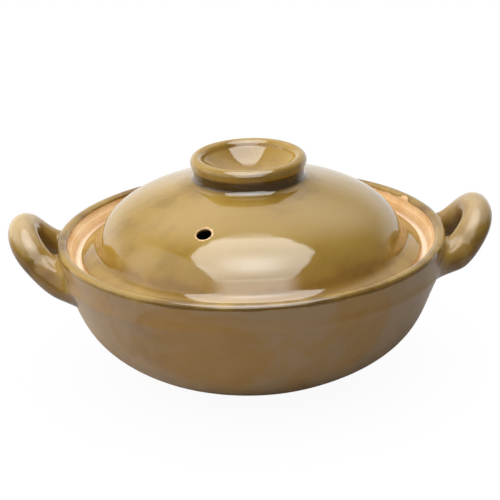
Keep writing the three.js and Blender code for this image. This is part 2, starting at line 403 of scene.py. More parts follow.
bowl = {
    "footRadius": 52, "footLean": 22, "footPull": 65,  # flat foot and the curve that leaves it
    "beltInset": 0.5, "beltLean": 27, "beltPull": 33, "bandHeight": 16.5,  # belt line below the rim
    "beltRidge": 0.35, "beltWidth": 1.3,  # the belt stands this proud
    "bandHollow": 0.5, "bandMiddle": 6, "bandWidth": 4.0,  # and the band above it dips this much
    "rimRoll": 3.5,  # half the thickness of the rim
    "rimSquare": 0.85, "rimCorner": 0.5,  # its inner and outer corner: 1 is a full round, less is squarer
    "rimLift": 0.2,  # the glaze that lies on it
    "rimWarp": 0.8,  # the kiln left it this much higher at the front and lower at the back
    "rimDown": 1.6, "rimIn": 2.6,  # this many rolls down and in still count as rim
    "galleryDepth": 12, "galleryInset": 11, "galleryRound": 3.2,  # bare step inside the rim
    "ledgeWidth": 9, "ledgeThickness": 5, "lipRound": 2,  # ledge that carries the lid
    "shoulderLean": -80, "shoulderPull": (6, 8), "shoulderClear": 6,  # from the ledge back to the wall
    "wall": 7.5, "floor": 9, "floorTurn": 18,
    "glazeStop": 151, "glazeDrift": 2.4,  # degrees over the rim's roll where the glaze ends, and its wander
    "raggedAt": 38, "raggedWidth": 0.22, "ragged": 7,  # a ragged stretch of that edge
    "notchAt": 26, "notchWidth": 0.034, "notch": 42,  # and a chip that shows the clay
    "glazeBead": 0.35,  # thickness of the glaze edge
    "coatDepth": 3.1, "coatDrift": 0.45,  # the bright rim coat ends this far below the rim's top
    "footBare": 55, "footDrift": 0.5,  # bare clay inside this radius underneath
    "throwPitch": 5.5, "throwDepth": 0.02,  # finger rings of the wheel
    "swell": 0.10,  # slow unevenness of the wall
    "clayGrain": 0.04,
    "outsideRun": 190,  # length of the profile that is outside
    "poolEdge": 0.55, "poolRim": 0.2, "poolTop": -0.05,  # depth of glaze at its edge, on the rim, on its top
    "poolRun": 0.16, "paintedShadeLow": 0.14,  # where the rim's coat ends, and painted shade darkening the wall towards the foot
    "fineStep": 0.45, "step": 1.1, "softening": 6,
    "around": 480,
}
ledgeHeight = potHeight - bowl["galleryDepth"]
galleryRadius = rimRadius - bowl["galleryInset"]
mouthRadius = galleryRadius - bowl["ledgeWidth"]
rimFoot = potHeight - bowl["rimRoll"] * bowl["rimDown"]
rimInside = rimRadius - bowl["rimRoll"] * bowl["rimIn"]


def bowlOutside():
    belt = (rimRadius - bowl["beltInset"], potHeight - bowl["bandHeight"])
    return pulled((bowl["footRadius"], 0), bowl["footLean"], bowl["footPull"],
                  belt, 90 - bowl["beltLean"], bowl["beltPull"])


def rimTurn(fromDegrees, toDegrees):
    turn = arc(0, 0, 1, fromDegrees, toDegrees, 40)
    square = np.where(turn[:, :1] > 0, bowl["rimCorner"], bowl["rimSquare"])
    turn = np.sign(turn) * np.abs(turn) ** square
    middle = np.array([rimRadius - bowl["rimRoll"], potHeight + bowl["rimLift"] - bowl["rimRoll"]])
    return turn * bowl["rimRoll"] + middle


def bowlProfile():
    outside = bowlOutside()
    inner = outside - sideways(outside) * bowl["wall"]
    shelf = ledgeHeight - bowl["ledgeThickness"]
    clear = inner.sum(1) < mouthRadius + shelf - bowl["shoulderClear"]
    inner = inner[(inner[:, 1] > bowl["floor"]) & clear][::-1]
    leavePull, landPull = bowl["shoulderPull"]
    landLean = math.degrees(math.atan2(*(inner[1] - inner[0])[::-1]))
    shoulder = pulled((mouthRadius, shelf), bowl["shoulderLean"], leavePull, inner[0], landLean, landPull)
    hollow, lip = bowl["galleryRound"], bowl["lipRound"]
    path = joined(
        (0, 0), outside, rimTurn(0, 180),
        arc(galleryRadius - hollow, ledgeHeight + hollow, hollow, 0, -90),
        arc(mouthRadius + lip, ledgeHeight - lip, lip, 90, 180),
        shoulder, inner,
        (inner[-1][0] - bowl["floorTurn"], bowl["floor"]), (0, bowl["floor"]),
    )
    even = spaced(path, lambda r, z: bowl["fineStep"] if z > ledgeHeight - 3 else bowl["step"])
    return softened(even, bowl["softening"])


def rimGlazeLine(angle):
    drift = wander(angle, 3, (1, 2, 5, 9, 17, 31), bowl["glazeDrift"])
    stretch = hill(angle, math.radians(bowl["raggedAt"]), bowl["raggedWidth"])
    ragged = stretch * wander(angle, 8, (40, 63, 90), bowl["ragged"])
    fromNotch = (angle - math.radians(bowl["notchAt"])) / bowl["notchWidth"]
    notch = np.exp(-(fromNotch ** 4)) * bowl["notch"]
    return bowl["glazeStop"] + drift + ragged - notch


# 1 where the bowl is glazed, 0 on the bare gallery, ledge and foot
def bowlCover(r, z, angle):
    roll = bowl["rimRoll"]
    over = np.degrees(np.arctan2(z - (potHeight - roll), r - (rimRadius - roll)))
    onRim = (z > rimFoot) & (r > rimInside)
    rim = smoothStep(4, -4, np.where(over < -90, 360 + over, over) - rimGlazeLine(angle))
    shelf = (r < rimRadius - roll) & (z > ledgeHeight - 1.2) & (r > mouthRadius - 1)
    foot = smoothStep(-0.6, 0.6, r - bowl["footBare"] - wander(angle, 5, (2, 3, 7), bowl["footDrift"]))
    cover = np.where(onRim, rim, np.where(shelf, 0.0, 1.0))
    return np.where((z < 3) & (r < rimRadius * 0.7), foot, cover)


def bowlRelief(r, z, along, angle):
    belt = potHeight - bowl["bandHeight"]
    outside = (r > bowl["footRadius"] + 1) & (along < bowl["outsideRun"])
    wall = smoothStep(2, 12, z) * outside
    rings = bowl["throwDepth"] * np.sin(2 * math.pi * along / bowl["throwPitch"] + angle) * wall
    ridge = bowl["beltRidge"] * hill(z, belt, bowl["beltWidth"]) * outside
    band = -bowl["bandHollow"] * hill(z, belt + bowl["bandMiddle"], bowl["bandWidth"]) * outside
    swell = bowl["swell"] * wall * np.sin(3 * angle + z / 9) * np.sin(5 * angle - z / 14 + 1)
    cover = bowlCover(r + 0 * angle, z + 0 * angle, angle + 0 * r)
    edge = bowl["glazeBead"] * (cover - 1 + 2 * cover * (1 - cover)) * (z > rimFoot)
    grain = bowl["clayGrain"] * np.sin(23 * angle + along) * np.sin(along * 1.7 + 2) * (cover < 0.5)
    return rings + ridge + band + swell + edge + grain


def warpRim(mesh):
    place = vertexField(mesh, "co") / mm
    place[:, 2] -= bowl["rimWarp"] * place[:, 1] / rimRadius * smoothStep(ledgeHeight, potHeight, place[:, 2])
    mesh.vertices.foreach_set("co", (place * mm).ravel())
    mesh.update()


bowlMesh = turnedMesh("bowlShell", bowlProfile(), bowl["around"], bowlRelief)
bowlPiece = addPiece("bowl_shell", bowlMesh, "pot", "pot_body")
spot, spotRadius, spotAngle = surveyed(bowlMesh)
spotHeight = spot[:, 2]
bowlGlazed = bowlCover(spotRadius, spotHeight, spotAngle)
coatEnd = potHeight - bowl["coatDepth"] + wander(spotAngle, 14, (3, 7, 12, 19, 31, 47), bowl["coatDrift"])
onRim = smoothStep(-0.4, 0.4, spotHeight - coatEnd) * (spotRadius > rimInside)
bowlPoolAndShade = bowl["poolRun"] * hill(spotHeight, coatEnd + 0.5, 1.2) * onRim
bowlPoolAndShade += bowl["poolEdge"] * 4 * bowlGlazed * (1 - bowlGlazed)
bowlPoolAndShade += bowl["poolRim"] * onRim + bowl["poolTop"] * hill(spotHeight, potHeight, 1.6)
# painted shade: the wall's colour darkens towards the foot
bowlPoolAndShade += bowl["paintedShadeLow"] * smoothStep(45, 8, spotHeight)
inGallery = (spotHeight > ledgeHeight - 1) & (bowlGlazed < 0.5)
# painted light: the gallery's up-facing ledge under the lid is tinted paler than its wall
paintedLedgeLight = smoothStep(3.5, 0.5, spotHeight - ledgeHeight)
bowlCoats = ((potGlaze, bowlGlazed * (1 - onRim)), (rimGlaze, bowlGlazed * onRim), (clay, 1 - bowlGlazed))
dress(bowlPiece, bowlCoats, np.where(inGallery, paintedLedgeLight, bowlPoolAndShade))
warpRim(bowlMesh)
print("bowl turned,", len(bowlMesh.polygons), "faces")


# handles

handle = {
    "reach": 20, "rise": 7, "bend": 24.5,  # outermost point of the loop and its level stretch
    "rootTurn": 20, "rootDepth": 11.5, "rootDrop": 18.5,  # where the middle line ends inside the wall
    "rootLean": 31, "rootPull": 34,
    "rollTip": 18, "rollLeg": 20, "rollRoot": 18,  # thickness along the loop
    "lumpRound": 0.018, "lumpAlong": 0.02,  # unevenness of a coil rolled by hand
    "dent": 0.165, "dentAt": 0.55, "dentWidth": 0.085,  # thumb press on each leg, and where along it
    "dentFacing": (0.30, 0.80, 0.52),  # the side that was pressed
    "heelWidth": 0.20, "heelFacing": (0.45, 0.45, -0.77),  # fatter underside of the leg
    "tuckFrom": 0.66, "tuckTo": 0.90,  # where the underside is drawn up towards the wall
    "fillet": 6.5,  # luted clay smeared onto the wall
    "blend": 14.0, "leavePull": 0.85, "landPull": 0.8,  # the smear starts this far up, and how it bends
    "evening": 12,  # passes that even out which way it was smeared
    "sink": 0.45, "skirt": 1.5, "skirtSink": 1.2,  # its edge dips into the wall and runs on out of sight
    "underRim": 0.3,  # it stays this far below the rim's top
    "jointPool": 0.04, "jointWidth": 2.5, "downwardDarkening": 0.5,  # glaze gathers at the joint, and faces turned downwards are darker
    "topPool": -0.5, "topFrom": -2, "topTo": 10,  # and is thin and paler on top, from about the rim's height upwards; that paler top is partly thin glaze and partly painted reflection of the white backdrop
    "amberDrop": 9, "amberHeight": 7, "amberFacing": (0.3, -0.9, 0.3),  # deeper patch on the front leg
    "sides": 72, "rows": 90, "rowDrift": 0.85,  # rows lie closer towards the smear
    "right": {
        "side": 1, "lump": 0.8,
        "drip": -2.0,  # the smear below is longer by this, or shorter
        "heel": 0.12, "heelAt": 0.64, "tuck": 0.34,
        "gloss": (0.20, 0.0), "film": 0.65, "amber": 0.0,  # roughness and clear coat, milky film, amber patch
    },
    "left": {
        "side": -1, "lump": -0.6,
        "drip": 13.0,
        "heel": 0.24, "heelAt": 0.84, "tuck": 0.0,
        "gloss": (0.12, 0.1), "film": 0.05, "amber": 0.15,
    },
}


def wallRadius(height):
    aboveRim = (rimRadius - bowl["rimRoll"], potHeight + 40)
    outside = joined(bowlOutside(), rimTurn(0, 75), aboveRim)
    return np.interp(height, outside[:, 1], outside[:, 0])


def ontoWall(point, sink):
    height = min(point[2], potHeight - handle["underRim"])
    scale = (wallRadius(height) - sink) / math.hypot(point[0], point[1])
    return np.array([point[0] * scale, point[1] * scale, height])


def evenRow(path, count):
    length = runLength(path)
    share = np.linspace(0, 1, count) ** handle["rowDrift"]
    return np.stack([np.interp(share * length[-1], length, path[:, k]) for k in range(3)], 1)


def unit(vectors):
    return vectors / np.linalg.norm(vectors, axis=1)[:, None]


# the bare roll from the outermost ring in to the wall, as rings of points
def handleTube(look):
    leave = math.radians(handle["rootTurn"] + handle["rootLean"])
    rootFlat = heading(handle["rootTurn"]) * (rimRadius - handle["rootDepth"])
    root = np.array([*rootFlat, potHeight - handle["rootDrop"]])
    tip = np.array([rimRadius + handle["reach"], 0, potHeight + handle["rise"]])
    away = np.array([math.sin(leave), -math.cos(leave), 0])
    count = 400
    t = np.linspace(0, 1, count)
    line = bezier(tip, tip + np.array([0, handle["bend"], 0]), root + away * handle["rootPull"], root, count)
    radius = (1 - t) ** 2 * handle["rollTip"] + 2 * t * (1 - t) * handle["rollLeg"]
    radius = (radius + t * t * handle["rollRoot"]) / 2
    tangent = unit(np.gradient(line, axis=0))
    tangent[0] = (0, 1, 0)
    loopNormal = np.array([-handle["rise"] - handle["rootDrop"], 0, handle["reach"] + handle["rootDepth"]])
    across = unit(np.cross(tangent, loopNormal / np.linalg.norm(loopNormal)))
    up = np.cross(across, tangent)
    turns = np.linspace(0, 2 * math.pi, handle["sides"], endpoint=False)
    ring = np.cos(turns)[None, :, None] * across[:, None] + np.sin(turns)[None, :, None] * up[:, None]
    lumps = handle["lumpRound"] * np.sin(2 * turns + 1)[None]
    lumps = lumps + handle["lumpAlong"] * np.sin(9 * t)[:, None] * np.sin(turns + 2)[None]
    thumb = handle["dent"] * hill(t, handle["dentAt"], handle["dentWidth"])
    upper = np.maximum(ring @ np.array(handle["dentFacing"]), 0) ** 2
    below = np.maximum(ring @ np.array(handle["heelFacing"]), 0) ** 2
    heel = look["heel"] * hill(t, look["heelAt"], handle["heelWidth"])
    tuck = look["tuck"] * smoothStep(handle["tuckFrom"], handle["tuckTo"], t)
    swell = 1 + look["lump"] * lumps - thumb[:, None] * upper + (heel - tuck)[:, None] * below
    return line[:, None] + ring * (radius[:, None] * swell)[..., None]


# which way the clay was smeared off the foot of the roll
def smearDirections(foot):
    outline = np.roll(foot, -1, 0) - np.roll(foot, 1, 0)
    outwards = foot * (1, 1, 0) / np.hypot(foot[:, 0], foot[:, 1])[:, None]
    spread = unit(np.cross(outwards, outline))
    for _ in range(handle["evening"]):
        spread = (np.roll(spread, 1, 0) + 2 * spread + np.roll(spread, -1, 0)) / 4
    spread = unit(spread)
    return spread if np.sum(spread * (foot - foot.mean(0))) > 0 else -spread


# one half of the loop with its smeared joint
def handleHalf(look):
    tube = handleTube(look)
    clear = np.hypot(tube[..., 0], tube[..., 1]) - wallRadius(tube[..., 2])
    hit = [np.argmax(clear[:, k] < 0) for k in range(handle["sides"])]
    foot = np.array([tube[h, k] for k, h in enumerate(hit)])
    rows = []
    for k, spread in enumerate(smearDirections(foot)):
        path = tube[:hit[k] + 1, k]
        length = runLength(path)
        leaveAt = np.searchsorted(length, length[-1] - handle["blend"])
        begin = path[leaveAt]
        along = begin - path[leaveAt - 1]
        along /= np.linalg.norm(along)
        fillet = handle["fillet"] + look["drip"] * max(-spread[2], 0)
        landing = ontoWall(foot[k] + spread * fillet, handle["sink"])
        skirt = ontoWall(landing + spread * handle["skirt"], handle["skirtSink"])
        smear = bezier(begin, begin + along * handle["blend"] * handle["leavePull"],
                       landing - spread * fillet * handle["landPull"], landing, 40)
        rows.append(evenRow(np.concatenate([path[:leaveAt], smear, [skirt]]), handle["rows"]))
    return np.array(rows).transpose(1, 0, 2)


def handleMesh(name, look):
    near = handleHalf(look)
    far = near * (1, -1, 1)
    sides = handle["sides"]
    grid = np.concatenate([far[::-1], near[1:]])
    grid = grid * (look["side"], look["side"], 1)  # the left loop is the right one turned half round
    vertices = (grid.reshape(-1, 3) * mm).tolist()
    faces = []
    for j in range(len(grid) - 1):
        for k in range(sides):
            n = (k + 1) % sides
            faces.append((j * sides + k, (j + 1) * sides + k, (j + 1) * sides + n, j * sides + n))
    mesh = newMesh(name, vertices, faces)
    work = bmesh.new()
    work.from_mesh(mesh)
    bmesh.ops.recalc_face_normals(work, faces=work.faces)
    work.to_mesh(mesh)
    work.free()
    return mesh


# glaze on a handle: pooled at the joint, darker on faces turned downwards, paler on top (thin glaze with
# painted reflection of the white backdrop), with an amber patch on the front leg
def handlePoolAndReflection(mesh, look):
    spot, spotRadius, _ = surveyed(mesh)
    spotHeight = spot[:, 2] - potHeight
    fromWall = spotRadius - wallRadius(spot[:, 2])
    facing = vertexField(mesh, "normal")
    sideX, frontY, upZ = handle["amberFacing"]
    pool = handle["jointPool"] * hill(fromWall, 0, handle["jointWidth"])
    # faces turned downwards are darker
    pool += handle["downwardDarkening"] * smoothStep(0.5, -0.5, facing[:, 2])
    legFace = smoothStep(0.1, 0.7, facing @ np.array([sideX * look["side"], frontY, upZ]))
    onLeg = hill(spotHeight, -handle["amberDrop"], handle["amberHeight"]) * smoothStep(1, 6, fromWall)
    pool += look["amber"] * legFace * onLeg
    # painted reflection: the up-facing top is made paler, partly for thin glaze and partly standing in for
    # the mirrored white backdrop
    upper = smoothStep(0.2, 0.9, facing[:, 0] * look["side"] * 0.2 + facing[:, 2])
    return pool + handle["topPool"] * upper * smoothStep(handle["topFrom"], handle["topTo"], spotHeight)


for label in ("right", "left"):
    look = handle[label]
    mesh = handleMesh("handleRoll", look)
    piece = addPiece("handle_roll_" + label, mesh, "pot", "handle_" + label)
    glazeName = "glazed earthenware, " + label + " handle"
    glaze = glazedEarthenware(glazeName, dict(handleLook, filmShare=look["film"]), *look["gloss"])
    dress(piece, ((glaze, np.ones(len(mesh.vertices))),), handlePoolAndReflection(mesh, look))
print("handles rolled and luted")


# lid

lid = {
    "brimThickness": 3.3, "brimRound": 1.3, "brimWidth": 10, "brimRise": 2.7, "brimHollow": 2.6,
    "domeLean": 11.3, "domePull": 28, "crownSlope": 20.4, "crownPull": 27, "wall": 6.5,
    "knobFoot": 36.4, "crownDrop": 1.5,  # the crown is pressed down round the knob
    "seatDip": 3.8, "seatRadius": 12,  # hidden under the knob
    "glazeStop": 2.1, "glazeDrift": 0.45,  # glaze ends this far above the underside of the edge
    "edgeBead": 0.6, "edgeBare": 0.12,  # its bead, and the bare clay below it
    "edgeZone": 3,  # the edge is this wide
    "throwPitch": 7, "throwDepth": 0.012,  # finger rings of the wheel
    "swell": 0.05, "lumps": 0.016,  # slow and quick unevenness of the dome
    "cornerGlaze": 0.35, "cornerOut": 1.2, "cornerWidth": 1.8,  # glaze that ran into the front corner
    "insideRun": 110,  # length of the profile that is inside
    "holeWidth": 9, "holeInset": 25.5, "holeTurn": -25, "holeRound": 0.7, "holeFlare": 35,
    "holeBare": 0.9, "holeDrift": 0.45,  # ring wiped bare round the steam hole
    "holeZone": (60, 80),  # radii between which that ring lies
    "hollowPool": 0.34, "hollowWidth": 2.0,  # glaze in the corner at the dome's foot
    "brimPool": 0.16, "brimPoolRun": 2.5,  # on the brim
    "crownPool": 0.12, "crownPoolAt": 40, "crownPoolWidth": 5,  # round the knob
    "edgePool": 0.3,  # and at its own edges
    "fineStep": 0.4, "step": 1.05, "softening": 4,
    "around": 480,
}
domeRadius = lidRadius - lid["brimWidth"]
brimTop = lidBottom + lid["brimThickness"]
domeFoot = brimTop + lid["brimRise"]
crownHeight = seatHeight - lid["crownDrop"]


def domeOutside():
    return pulled((domeRadius, domeFoot), 90 + lid["domeLean"], lid["domePull"],
                  (lid["knobFoot"], crownHeight), 180 - lid["crownSlope"], lid["crownPull"])


def lidProfile():
    outside = domeOutside()
    inside = outside - sideways(outside) * lid["wall"]
    ceiling = crownHeight - lid["wall"]
    inside = inside[inside[:, 1] < ceiling][::-1]
    hollow = lid["brimHollow"]
    climb = outside[outside[:, 1] > domeFoot + hollow]
    climbing = (climb[1] - climb[0]) / np.hypot(*(climb[1] - climb[0]))
    fillet = bezier(np.array([domeRadius + hollow, domeFoot]),
                    np.array([domeRadius + hollow * 0.4, domeFoot]),
                    climb[0] - climbing * hollow * 0.6, climb[0], 24)
    edge = lidRadius - lid["brimRound"]
    seat = crownHeight - lid["seatDip"]
    path = joined(
        (0, ceiling), (inside[0][0] - 8, ceiling), inside, (inside[-1][0], lidBottom),
        arc(edge, lidBottom + lid["brimRound"], lid["brimRound"], -90, 0),
        arc(edge, brimTop - lid["brimRound"], lid["brimRound"], 0, 90),
        fillet, climb[1:], (lid["knobFoot"] - 4, crownHeight - 0.5), (lid["seatRadius"], seat), (0, seat),
    )
    even = spaced(path, lambda r, z: lid["fineStep"] if r > lidRadius - lid["edgeZone"] else lid["step"])
    return softened(even, lid["softening"])


def lidEdgeLine(angle):
    return lidBottom + lid["glazeStop"] + wander(angle, 21, (2, 3, 7, 13, 24), lid["glazeDrift"])


def lidRelief(r, z, along, angle):
    top = (z > brimTop + 1) & (along > lid["insideRun"])
    rings = lid["throwDepth"] * np.sin(2 * math.pi * along / lid["throwPitch"] + angle)
    swell = lid["swell"] * np.sin(4 * angle + r / 17) * np.sin(7 * angle - r / 14 + 2)
    lumps = lid["lumps"] * np.sin(13 * angle + r / 6 + 1) * np.sin(9 * angle - r / 5) * smoothStep(40, 70, r)
    front = smoothStep(0.2, 0.8, -np.sin(angle))
    corner = lid["cornerGlaze"] * hill(r, domeRadius + lid["cornerOut"], lid["cornerWidth"]) * front
    onEdge = r > lidRadius - lid["edgeZone"]
    glazed = smoothStep(-0.35, 0.35, z - lidEdgeLine(angle)) * onEdge
    edge = lid["edgeBead"] * glazed * (1 - glazed) - lid["edgeBare"] * (1 - glazed) * onEdge
    return (rings + swell + lumps + corner) * top + edge


# centre of the steam hole on the dome, and the way it was pierced
def steamHoleAxis():
    outside = domeOutside()
    i = np.argmax(outside[:, 0] < domeRadius - lid["holeInset"])
    out = sideways(outside)[i]
    turn = math.radians(lid["holeTurn"] - 90)
    flat = np.array([math.cos(turn), math.sin(turn)])
    centre = np.array([*(flat * outside[i, 0]), outside[i, 1]])
    return centre, np.array([*(flat * out[0]), out[1]])


# a drill with a rounded shoulder for the wiped outer edge, pared wider from the inside
def pierce(piece):
    centre, axis = steamHoleAxis()
    half = lid["holeWidth"] / 2
    soft = lid["holeRound"]
    deep = lid["wall"] + 3
    neck = soft * 1.6
    shoulder = half + soft * 2.2
    wide = half + (deep - neck) * math.tan(math.radians(lid["holeFlare"]))
    path = joined(
        (0, -deep), (wide, -deep), (half, -neck),
        arc(half + soft, -soft, soft, 180, 100, 8), (shoulder, 0.3), (shoulder, 5), (0, 5),
    )
    drillMesh = turnedMesh("drill", path, 56, lambda r, z, along, angle: 0 * (r + angle))
    drill = placed("drill", drillMesh)
    tilt = Vector((0, 0, 1)).rotation_difference(Vector(axis))
    drill.matrix_world = Matrix.Translation(Vector(centre) * mm) @ tilt.to_matrix().to_4x4()
    cut = piece.modifiers.new("pierce", "BOOLEAN")
    cut.operation = "DIFFERENCE"
    cut.solver = "EXACT"
    cut.object = drill
    bpy.context.view_layer.update()
    evaluated = piece.evaluated_get(bpy.context.evaluated_depsgraph_get())
    pierced = bpy.data.meshes.new_from_object(evaluated)
    piece.modifiers.clear()
    piece.data = pierced
    bpy.data.objects.remove(drill)
    return centre, axis


lidTurned = turnedMesh("lidShell", lidProfile(), lid["around"], lidRelief)
lidPiece = addPiece("lid_shell", lidTurned, "lid", "lid")
holeCentre, holeAxis = pierce(lidPiece)
lidMesh = lidPiece.data
spot, spotRadius, spotAngle = surveyed(lidMesh)
spotHeight = spot[:, 2]
onEdge = spotRadius > lidRadius - 2
lidCover = np.where(onEdge, smoothStep(-0.35, 0.35, spotHeight - lidEdgeLine(spotAngle)), 1.0)
under = (spotHeight < lidBottom + 1) & (spotRadius > domeRadius - lid["wall"] - 1.5) & ~onEdge
lidCover = np.where(under, 0.0, lidCover)
fromHole = np.linalg.norm(np.cross(spot - holeCentre, holeAxis), axis=1)
holeAngle = np.arctan2(spotHeight - holeCentre[2], spot[:, 0] - holeCentre[0])
bareRing = lid["holeWidth"] / 2 + lid["holeBare"] + wander(holeAngle, 31, (1, 2, 5, 9), lid["holeDrift"])
nearHole = (spotRadius > lid["holeZone"][0]) & (spotRadius < lid["holeZone"][1]) & (spotHeight > brimTop + 8)
lidCover = np.where(nearHole, np.minimum(lidCover, smoothStep(-0.3, 0.3, fromHole - bareRing)), lidCover)
onBrim = spotHeight > brimTop - 1
lidPool = lid["hollowPool"] * hill(spotRadius, domeRadius, lid["hollowWidth"]) * onBrim
lidPool += lid["brimPool"] * smoothStep(domeRadius, domeRadius + lid["brimPoolRun"], spotRadius) * onBrim
roundKnob = hill(spotRadius, lid["crownPoolAt"], lid["crownPoolWidth"]) * (spotHeight > crownHeight - 8)
lidPool += lid["crownPool"] * roundKnob + lid["edgePool"] * 4 * lidCover * (1 - lidCover)
dress(lidPiece, ((lidGlaze, lidCover), (clay, 1 - lidCover)), lidPool)
lidMesh.polygons.foreach_set("use_smooth", [True] * len(lidMesh.polygons))
print("lid turned and pierced,", len(lidMesh.polygons), "faces")


# knob

knob = {
    "radius": 35.6, "roll": 3.9, "rollUnder": 44,  # rolled rim, and how far round it runs underneath
    "rollSide": 0.6,  # upright stretch between its upper and lower rounds
    "neck": 33.9,  # wall under the roll, narrowest at its bottom
    "waist": (0.35, 0.65),  # tight corner where the roll meets the neck
    "foot": 38.6, "footSpread": 1.8, "footSink": 0.15,  # clay smeared out onto the crown
    "dish": 16.3, "dishLean": 49, "dishPull": 16, "dishFloor": 6.5,
    "floorThickness": 1.2,
    "oval": 0.05, "uneven": 0.035, "rings": 0.008,  # the hand and the wheel
    "pool": 0.1, "groovePoolAndShade": 0.8, "topPool": -0.12,  # depth of glaze, thick in the groove and darkened further there as painted shade under the roll, thin on the roll
    "step": 0.42, "softening": 4,
    "around": 320,
}


def knobProfile():
    roll = knob["roll"]
    middle = np.array([knob["radius"] - roll, knobTop - roll])
    outside = domeOutside()
    slope = math.tan(math.radians(lid["crownSlope"]))
    footHeight = np.interp(knob["foot"], outside[::-1, 0], outside[::-1, 1]) - knob["footSink"]
    foot = np.array([knob["foot"], footHeight])
    spread = knob["footSpread"]
    neck = np.array([knob["neck"], crownHeight + (lid["knobFoot"] - knob["neck"]) * slope + spread])
    flare = bezier(foot, foot + np.array([-1, slope]) * spread, neck - np.array([0, spread * 0.8]), neck, 30)
    lower = middle - np.array([0, knob["rollSide"]])
    waist = lower + heading(-knob["rollUnder"]) * roll - np.array(knob["waist"])
    inner = middle - np.array([roll, 0])
    floor = knobTop - knob["dish"]
    down = -heading(90 - knob["dishLean"])
    dish = bezier(inner, inner + down * knob["dishPull"],
                  np.array([knob["dishFloor"], floor]), np.array([0, floor]), 60)
    underneath = floor - knob["floorThickness"]
    path = joined(
        (0, underneath), (knob["dishFloor"], underneath), (knob["foot"] - 6, footHeight - 0.8),
        flare, waist,
        arc(lower[0], lower[1], roll, -knob["rollUnder"], 0, 12),
        arc(middle[0], middle[1], roll, 0, 180, 40), dish,
    )
    return softened(spaced(path, lambda r, z: knob["step"]), knob["softening"])


def knobRelief(r, z, along, angle):
    oval = knob["oval"] * np.sin(2 * angle + 0.6)
    uneven = knob["uneven"] * np.sin(5 * angle + along / 4)
    rings = knob["rings"] * np.sin(along * 2.1 + angle)
    return smoothStep(seatHeight + 2, seatHeight + 5, z) * (oval + uneven + rings)


knobMesh = turnedMesh("knobRing", knobProfile(), knob["around"], knobRelief)
knobPiece = addPiece("knob_ring", knobMesh, "lid", "lid_knob")
spot, spotRadius, _ = surveyed(knobMesh)
spotHeight = spot[:, 2]
# painted shade: the groove under the roll is darkened beyond its pooled glaze
groove = smoothStep(crownHeight, crownHeight + 2.5, spotHeight) * (spotRadius > knob["neck"] - 2)
groove = groove * smoothStep(knobTop - 6.2, knobTop - 8.2, spotHeight)
knobPoolAndShade = knob["pool"] + knob["groovePoolAndShade"] * groove + knob["topPool"] * hill(spotHeight, knobTop, 1.6)
dress(knobPiece, ((lidGlaze, np.ones(len(spot))),), knobPoolAndShade)
print("knob turned,", len(knobMesh.polygons), "faces")


# studio

shot = {
    "azimuth": -2.0, "elevation": 20.77, "roll": -1.96,  # degrees, from the front
    "distance": 1.0, "targetHeight": 0.086,  # metres
    "lens": 116.13, "sensor": 36.0,  # millimetres
    "centre": (250.78, 231.99), "frameSide": 500,  # where the lens axis meets the picture, in pixels
}


def fromFront(azimuth, elevation):
    a, e = math.radians(azimuth), math.radians(elevation)
    return Vector((math.sin(a) * math.cos(e), -math.cos(a) * math.cos(e), math.sin(e)))


target = Vector((0, 0, shot["targetHeight"]))
cameraData = bpy.data.cameras.new("camera")
camera = placed("camera", cameraData)
back = fromFront(shot["azimuth"], shot["elevation"])
camera.location = target + back * shot["distance"]
aim = back.to_track_quat("Z", "Y")
camera.rotation_mode = "QUATERNION"
camera.rotation_quaternion = aim @ Quaternion((0, 0, 1), math.radians(shot["roll"]))
cameraData.sensor_width = shot["sensor"]
cameraData.lens = shot["lens"]
cameraData.shift_x = 0.5 - shot["centre"][0] / shot["frameSide"]
cameraData.shift_y = shot["centre"][1] / shot["frameSide"] - 0.5
bpy.context.scene.camera = camera

# where each softbox stands, its size in metres, its faded edges, the light it gives and the gleam it shows
studio = {
    "sky": {"from": (-150, 80), "distance": 1.3, "size": (1.6, 1.6), "fade": (0.2, 0.2),
            "light": 2.9, "gleam": 0.0},
    "key": {"from": (0, 70), "distance": 1.15, "size": (1.5, 2.1), "fade": (0.06, 0.16),
            "light": 0.3, "gleam": 5.0,
            "dim": (0.5, 0.68),  # dimmer from halfway down to its lower edge
            "corner": 0.80, "cornerFade": 0.06, "waist": 0.32},  # eight-sided, widest below its middle
    "heart": {"from": (0, 60), "distance": 1.2, "size": (1.2, 1.2), "fade": (0.48, 0.48),
              "light": 0.2, "gleam": 3.6},
    "front": {"from": (0, 20), "distance": 1.3, "size": (1.7, 0.8), "fade": (0.28, 0.2),
              "light": 0.65, "gleam": 3.8},
    "left": {"from": (-70, 28), "distance": 1.2, "size": (2.1, 1.3), "fade": (0.25, 0.1),
             "light": 0.5, "gleam": 1.0},
    "side": {"from": (-105, 23), "distance": 1.3, "size": (1.2, 0.9), "fade": (0.2, 0.2),
             "light": 4.2, "gleam": 0.4},
    "rear": {"from": (180, 60), "distance": 1.35, "size": (3.4, 1.7), "fade": (0.45, 0.45),
             "light": 0.3, "gleam": 0.9},
    "edgeLeft": {"from": (-128, 9), "distance": 1.4, "size": (1.3, 0.9), "fade": (0.35, 0.4),
                 "light": 0.0, "gleam": 0.2},
    "sweep": {"from": (180, 17), "distance": 1.5, "size": (3.0, 0.75), "fade": (0.2, 0.3),
              "light": 0.2, "gleam": 0.0},
}
gleamNearer = 0.004  # metres, so that no two lamps lie in one plane


